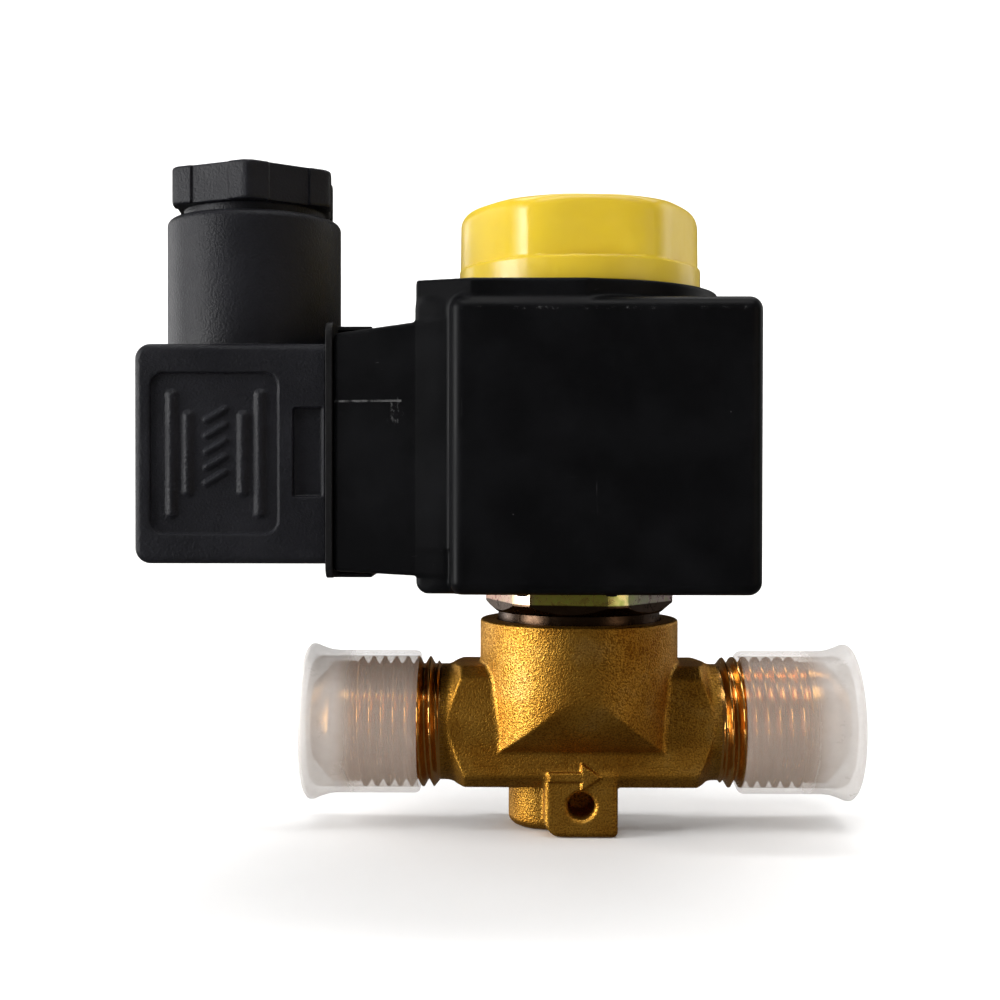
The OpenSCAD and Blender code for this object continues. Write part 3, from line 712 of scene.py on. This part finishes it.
def port(name, side):
    """A threaded port with its flare nose; side is -1 for the inlet and 1 for the outlet."""
    sides = 160
    turn = np.linspace(0, 2 * math.pi, sides, endpoint=False)
    end = THREAD_START + THREAD_TURNS * PITCH
    path = [(x, ROOT_R, 0) for x in np.linspace(16.3, THREAD_START - 0.3, 4)]
    path += [(x, ROOT_R, 1) for x in np.arange(THREAD_START - 0.25, end + 0.3, PITCH / 20)]
    path += [(end + 0.45, 7.33, 0), (end + 0.6, 7.35, 0), (PORT_END - 2.5, 7.35, 0), (PORT_END - 2.4, 7.3, 0)]
    path += [(PORT_END - 0.12, 4.95, 0), (PORT_END - 0.03, 4.85, 0), (PORT_END, 4.75, 0), (PORT_END, 4.15, 0)]
    path += [(PORT_END - 0.05, 4.05, 0), (PORT_END - 0.15, BORE_R, 0), (16.3, BORE_R, 0), path[0]]
    rows = []
    for x, r, threaded in path:
        radius = np.full(sides, r)
        if threaded:
            room = min(x - THREAD_START + 0.25, end + 0.3 - x) * 1.2
            lift = thread_height((x - THREAD_START) / PITCH - side * turn / (2 * math.pi))
            radius = r + np.minimum(lift, max(room, 0))
        ring = [np.full(sides, x * side), radius * np.cos(turn), radius * np.sin(turn)]
        rows.append(np.stack(ring, 1) * MM)
    obj = grid_mesh(name, rows if side > 0 else rows[::-1])
    sharpen(obj, 50)
    return finish_piece(obj, "valve", "machined_brass", "valve_body")


port("inlet_thread", -1)
port("outlet_thread", 1)


# ---- plunger spring ---------------------------------------------------------------------

SPRING_LOW, SPRING_HIGH = box_mm("plunger_spring")
SPRING_TURNS = 6
WIRE_R = 0.35


def spring_rise(turns):
    """Height of the wire's middle above its lowest point; the first and last turn lie closed."""
    span = SPRING_HIGH[2] - SPRING_LOW[2] - 2 * WIRE_R
    closed = 2 * WIRE_R + 0.05
    return np.interp(turns, [0, 1, SPRING_TURNS - 1, SPRING_TURNS], [0, closed, span - closed, span])


def spring_wire():
    """A coil of round wire from the plunger's pocket to the core."""
    coil_r = SPRING_HIGH[0] - WIRE_R
    around = np.linspace(0, 2 * math.pi, 12, endpoint=False)
    turns = np.linspace(0, SPRING_TURNS, 32 * SPRING_TURNS + 1)
    wires = [0.01] + [WIRE_R] * len(turns) + [0.01]
    rows = []
    for at, wire in zip([turns[0], *turns, turns[-1]], wires):
        out = coil_r + wire * np.cos(around)
        rise = SPRING_LOW[2] + WIRE_R + spring_rise(at) + wire * np.sin(around)
        turn = 2 * math.pi * at
        rows.append(np.stack([out * math.cos(turn), out * math.sin(turn), rise], 1) * MM)
    obj = grid_mesh("spring_wire", rows[::-1])
    sharpen(obj, 60)
    obj.data.materials.append(MATERIALS["stainless"])
    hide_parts("plunger_spring")
    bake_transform(obj)


spring_wire()


# ---- coil -------------------------------------------------------------------------------

COIL_LOW, COIL_HIGH = box_mm("coil_housing")
COIL_BOTTOM = 16.9
SHOULDER = 50.1
SLAB_R = 15.1
BOSS_R = 16.7
BOSS_HALF = 17.4
PANEL_LEFT = -15.1
DEEP_LEFT = -19.0
PAD_FACE = COIL_LOW[0]
GASKET_RECESS_R = 10.5
COIL_BORE_R = 7.05
BLADE_Y = 9
BLADE_HALF = 3.2
BLADE_SLOT = 0.45
EARTH_Z = 24.2
SCREW_Z = 33.2
INSERT_R = 2.65
# back and front end of the blades' pockets
POCKET = (-31, -22)


def coil(x, y, z):
    """The coil's moulded shell, with its boss on top and its pad towards the connector."""
    ay = np.abs(y)
    r = np.sqrt(x * x + y * y)
    right, half = COIL_HIGH[0], COIL_HIGH[1]
    block = rounded_box(x, y, z, (PANEL_LEFT, -half, COIL_BOTTOM), (right, half, SHOULDER), 1.5)
    # the wall left of the panel leans back to the connector pad
    deep = rounded_box(x, y, z, (DEEP_LEFT, -SLAB_R - 1.2, COIL_BOTTOM), (0, SLAB_R + 1.2, SHOULDER), 1.4)
    deep = meet(deep, 0.94 * ay - 0.342 * (x - DEEP_LEFT) - 0.94 * SLAB_R, 0.5)
    # the boss on top: round under the nut, with a straight run to the connector side
    run = np.maximum(0.2807 * x + 0.9598 * ay - BOSS_R, np.maximum(x - 0.2807 * BOSS_R, DEEP_LEFT - x))
    run = np.maximum(run, np.maximum(ay - BOSS_HALF, 0.94 * ay - 0.342 * (x - DEEP_LEFT) - 0.94 * SLAB_R))
    top = rounded(np.minimum(run, r - BOSS_R), slab(z, COIL_BOTTOM + 5, COIL_HIGH[2]), 0.3)
    slope = (x - PAD_FACE) / (DEEP_LEFT + 2 - PAD_FACE)
    # its sides run over the deep part's corner, in line with the leaning wall
    side = np.interp(x, [PAD_FACE, DEEP_LEFT, DEEP_LEFT + 3.2], [13.8, 15.4, 16.3])
    pad = meet_all(
        0.6,
        PAD_FACE - x,
        x + 12,
        z - 46.3 - 1.4 * slope,
        19.3 - 0.5 * slope - z,
        ay - side,
    )
    shell = join(block, deep, 0.5)
    shell = join(shell, top, 0.5)
    shell = join(shell, pad, 0.3)
    for nub_x in (-7, 3.1):
        nub = np.sqrt((x - nub_x) ** 2 + (y + 13.5) ** 2)
        shell = join(shell, rod(nub, z, 0.7, COIL_LOW[2], COIL_BOTTOM + 1, 0.25), 0.2)
    bore = np.minimum(r - COIL_BORE_R, np.maximum(r - GASKET_RECESS_R, z - 17.65))
    shell = cut(shell, bore, 0.25)
    # pockets of the blades and the screw insert
    low, high = (-BLADE_SLOT, SCREW_Z - BLADE_HALF), (BLADE_SLOT, SCREW_Z + BLADE_HALF)
    for at in (-BLADE_Y, BLADE_Y):
        slot = rounded_box(x, y - at, z, (POCKET[0], *low), (POCKET[1], *high), 0.05)
        shell = cut(shell, slot, 0.1)
    low, high = (-BLADE_HALF, EARTH_Z - BLADE_SLOT), (BLADE_HALF, EARTH_Z + BLADE_SLOT)
    shell = cut(shell, rounded_box(x, y, z, (POCKET[0], *low), (POCKET[1], *high), 0.05), 0.1)
    insert = np.sqrt(y * y + (z - SCREW_Z) ** 2)
    return cut(shell, np.maximum(insert - INSERT_R, x + 22.1), 0.1)


housing = net_mesh("coil_shell", coil, COIL_LOW, COIL_HIGH, 0.3)
finish_piece(housing, "coil", "coil_plastic", "coil_housing")

NUT_LOW, NUT_HIGH = box_mm("coil_nut")
NUT_R = NUT_HIGH[0]


def coil_nut(x, y, z):
    """The yellow nut: round flange, six-sided grip, and the hollows underneath."""
    r = np.sqrt(x * x + y * y)
    flange_top = 55.15
    # the six-sided grip stands on the flange, and its rounded corners reach the rim
    rim = rod(r, z, NUT_R - 0.02, NUT_LOW[2], flange_top, 0.25)
    grip = rod(r, z, NUT_R - 0.06 - 0.012 * (z - NUT_LOW[2]), NUT_LOW[2], NUT_HIGH[2], 1.9)
    body = join(rim, meet(grip, hexagon(x, y, 13.3, 3.6), 0.9), 0.2)
    hole = np.maximum(r - 4.05, z - 60.1)
    hole = np.minimum(hole, np.maximum(np.abs(r - 11.2) - 1.2, z - 53.5))
    hole = np.minimum(hole, np.maximum(np.abs(r - 7.3) - 1.7, z - NUT_LOW[2] - 1.2))
    return cut(body, hole, 0.2)


nut = net_mesh("coil_nut_grip", coil_nut, NUT_LOW, NUT_HIGH, 0.25)
finish_piece(nut, "coil_nut", "yellow_plastic", "coil_nut")


# ---- connector --------------------------------------------------------------------------

PLUG_LOW, PLUG_HIGH = box_mm("connector_housing")
PLUG_TOP = 45.2
GLAND_X = -39.9
GLAND_R = 10.5
WALL = 1.8
# where each raised bar of the side panels stands, and its lowest and highest point
PLUG_BARS = ((-47.0, 25.9, 39.3), (-36.9, 25.9, 39.3), (-45.13, 28.4, 36.9), (-38.85, 28.4, 36.9))


def plug(x, y, z):
    """The connector's shell with its gland tube, side panels, wiring space and screw hole."""
    ay = np.abs(y)
    left, right, half = PLUG_LOW[0], PLUG_HIGH[0], PLUG_HIGH[1]
    gland = np.sqrt((x - GLAND_X) ** 2 + y * y)
    screw = np.sqrt(y * y + (z - SCREW_Z) ** 2)
    outline = rounded(slab(x, left, right + 3), slab(z, PLUG_LOW[2], PLUG_TOP), 1.8)
    shell = rounded(outline, ay - half, 0.9)
    shell = np.maximum(shell, x - right)
    tube = rod(gland, z, GLAND_R, PLUG_TOP - 3, PLUG_HIGH[2], 0.9)
    shell = join(shell, tube, 0.35)
    # sunk panel with raised bars, on both sides
    panel = rounded(slab(x, -49.38, -34.86), slab(z, 23.57, 41.83), 1.6)
    shell = cut(shell, meet(panel, half - 0.42 - ay, 0.15), 0.3)
    rib_y = half - 0.12
    bar_y = rib_y - 0.62
    for at, low_z, high_z in PLUG_BARS:
        bar = capsule(x, ay, z, (at, bar_y, low_z), (at, bar_y, high_z), 0.72)
        shell = join(shell, bar, 0.2)
    slant_y = rib_y - 0.4
    for step in range(5):
        foot = 29.3 + step * 1.8
        slant = capsule(x, ay, z, (-43.0, slant_y, foot), (-41.0, slant_y, foot + 1.2), 0.45)
        shell = join(shell, slant, 0.15)
    window = rounded_box(x, ay, z, (-33.1, half - 0.8, 27.75), (-29.8, half + 1, 37.9), 0.3)
    shell = cut(shell, window, 0.2)
    # wiring space, gland bore and screw hole
    inner = np.maximum(
        rounded(slab(x, left + WALL, right + 5), slab(z, PLUG_LOW[2] + WALL, PLUG_TOP - WALL), 0.6),
        ay - half + WALL,
    )
    inner = cut(inner, np.maximum(screw - 4.3, x - left - 5), 0.2)
    shell = cut(shell, inner, 0.2)
    bore = np.minimum(np.maximum(gland - 7, 42 - z), np.maximum(gland - 8.6, 45 - z))
    shell = cut(shell, bore, 0.3)
    hole = np.minimum(np.maximum(screw - 1.75, x - left - 8), np.maximum(screw - 3.2, x - left - 2.8))
    return cut(shell, hole, 0.2)


housing = net_mesh("connector_shell", plug, PLUG_LOW, PLUG_HIGH, 0.25)
finish_piece(housing, "connector", "connector_plastic", "connector_housing")

GLAND_LOW, GLAND_HIGH = box_mm("gland_nut")


def gland_nut(x, y, z):
    """Six-sided head on a round shank, with a hole for the cable."""
    gx = x - GLAND_X
    r = np.sqrt(gx * gx + y * y)
    shank = rod(r, z, 8.5, GLAND_LOW[2], 64, 0.2)
    flat = 10.85 * math.cos(math.radians(30))
    sides = hexagon(gx, y, flat, 36)
    # the middle of every flat is set back
    angle = np.degrees(np.arctan2(y, gx))
    off = np.radians((angle - 66 + 30) % 60 - 30)
    along, out = r * np.sin(off), r * np.cos(off)
    band = np.maximum(np.abs(along) - 2.6, flat - 0.3 - out)
    head = meet(rod(r, z, 10.7, 62.3, GLAND_HIGH[2], 0.5), sides, 0.3)
    head = cut(head, band, 0.2)
    body = join(shank, head, 0.2)
    return cut(body, r - 4.5, 0.5)


nut = net_mesh("gland_nut_head", gland_nut, GLAND_LOW, GLAND_HIGH, 0.22)
finish_piece(nut, "gland_nut", "connector_plastic", "gland_nut")


# ---- caps -------------------------------------------------------------------------------


def cap(name, side, body):
    """A push-on thread cap, the same on both ports: tube, flared lip and closed end."""
    low, high = box_mm("outlet_cap")
    mouth, end, lip_r, tube_r = low[0], high[0], high[1], 8.69
    outer = [(8.05, mouth), (8.5, mouth), (tube_r, mouth + 0.5), (tube_r, 29.6), (tube_r + 0.12, 30.6)]
    outer += [(tube_r + 0.45, 31.6), (lip_r - 0.05, 32.3), (lip_r, 32.7), (lip_r - 0.05, end - 0.4)]
    outer += [(lip_r - 0.5, end), (lip_r - 1.6, end - 0.12), (5, end), (0.01, end)]
    floor = PORT_END + 0.18
    inner = [(0.01, floor), (7.4, floor), (8.0, PORT_END - 0.5), (8.0, mouth + 0.3), (8.05, mouth)]
    profile = rounded_profile(outer, 0.35) + rounded_profile(inner, 0.3)
    obj = lathe(name, profile, (side, 0, 0))
    sharpen(obj, 60)
    return finish_piece(obj, body, "clear_polyethylene", body)


cap("inlet_cap_skin", -1, "inlet_cap")
cap("outlet_cap_skin", 1, "outlet_cap")


# ---- edges of the CAD pieces that stay ---------------------------------------------------

EDGES = {
    "tube_nut": 0.22, "profile_gasket": 0.18, "plunger": 0.1, "fixed_core": 0.12, "terminal_block": 0.15,
    "line_blades": 0.08, "earth_blade": 0.08, "centre_screw": 0.12, "terminal_screws": 0.1,
    "line_sockets": 0.08, "earth_socket": 0.08, "coil_yoke": 0.15, "screw_insert": 0.08,
}
for node, width in EDGES.items():
    obj = frame["nodes"][node]
    # the faces come in separate patches, which are welded so that the edges between them can be rounded
    seams = obj.modifiers.new("seams", "WELD")
    seams.merge_threshold = 0.002 * MM
    flat = obj.modifiers.new("flats", "DECIMATE")
    flat.decimate_type = "DISSOLVE"
    flat.angle_limit = math.radians(1.0)
    soft = obj.modifiers.new("edges", "BEVEL")
    soft.width = width * MM
    soft.segments = 2
    soft.limit_method = "ANGLE"
    soft.angle_limit = math.radians(32)
    soft.use_clamp_overlap = True
    soft.harden_normals = False
    weigh = obj.modifiers.new("weigh", "WEIGHTED_NORMAL")
    weigh.keep_sharp = True


# ---- floor, light and camera --------------------------------------------------------------


def studio_floor():
    """A pale round sweep: floor, curve and wall all round."""
    floor_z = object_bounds()[0][2] - 0.00005
    wall_r, curve_r, height, sides = 1.3, 0.6, 1.7, 96
    path = [(0.00001, floor_z), (0.3, floor_z), (wall_r - curve_r, floor_z)]
    for i in range(1, 13):
        a = math.radians(90 * i / 12)
        path.append((wall_r - curve_r + curve_r * math.sin(a), floor_z + curve_r - curve_r * math.cos(a)))
    path.append((wall_r, floor_z + height))
    turn = np.linspace(0, 2 * math.pi, sides, endpoint=False)
    rows = [np.stack([r * np.cos(turn), r * np.sin(turn), np.full(sides, z)], 1) for r, z in path]
    obj = grid_mesh("studio_floor", rows[::-1])
    obj.data.materials.append(Surface("pale_floor", (0.88, 0.88, 0.88), 0.7).mat)
    obj.visible_glossy = False
    obj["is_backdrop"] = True


def lamp(name, at, target, size, power, color=(1, 1, 1)):
    """A rectangular light at a place, turned to its target."""
    data = bpy.data.lights.new(name, "AREA")
    data.shape = "RECTANGLE"
    data.size, data.size_y = size
    data.energy = power
    data.color = color
    obj = bpy.data.objects.new(name, data)
    obj.location = at
    obj.rotation_euler = (Vector(target) - Vector(at)).to_track_quat("-Z", "Y").to_euler()
    bpy.context.scene.collection.objects.link(obj)


studio_floor()
lamp("key", (-0.52, -0.17, 0.09), (-0.01, 0, 0.02), (0.24, 0.40), 4.1)
lamp("side", (-0.45, 0.28, 0.06), (-0.01, 0, 0.01), (0.20, 0.30), 0.9)
lamp("top", (0.02, -0.25, 0.60), (0, 0, 0.02), (0.45, 0.25), 2.0)
lamp("fill", (0.42, -0.34, 0.06), (0, 0, 0.01), (0.20, 0.30), 0.26, (1.0, 0.82, 0.62))
lamp("rim", (0.45, 0.25, 0.20), (0, 0, 0.02), (0.25, 0.40), 0.5)
lamp("backdrop", (0.0, 0.45, 1.0), (0, 1.2, 0.1), (1.2, 0.3), 14.0)

world = bpy.data.worlds.new("studio")
world.use_nodes = True
background = world.node_tree.nodes["Background"]
background.inputs["Color"].default_value = (1, 0.9, 0.78, 1)
background.inputs["Strength"].default_value = 0.08
bpy.context.scene.world = world
bpy.context.scene.view_settings.view_transform = "Standard"

EYE = Vector((-7.72, -171.35, 29.47)) * MM
LOOK = Vector((-0.0117, 0.9999, -0.0129))
ROLL = 0.0015
data = bpy.data.cameras.new("camera")
data.lens = 50.10
data.sensor_width = 36
data.clip_start = 0.01
data.clip_end = 20
camera = bpy.data.objects.new("camera", data)
camera.rotation_euler = (LOOK.to_track_quat("-Z", "Y").to_matrix() @ Matrix.Rotation(ROLL, 3, "Z")).to_euler()
camera.location = EYE
bpy.context.scene.collection.objects.link(camera)
bpy.context.scene.camera = camera

visual_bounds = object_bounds()
({
    "cad": [list(corner) for corner in cad_bounds],
    "visual": [list(corner) for corner in visual_bounds],
})
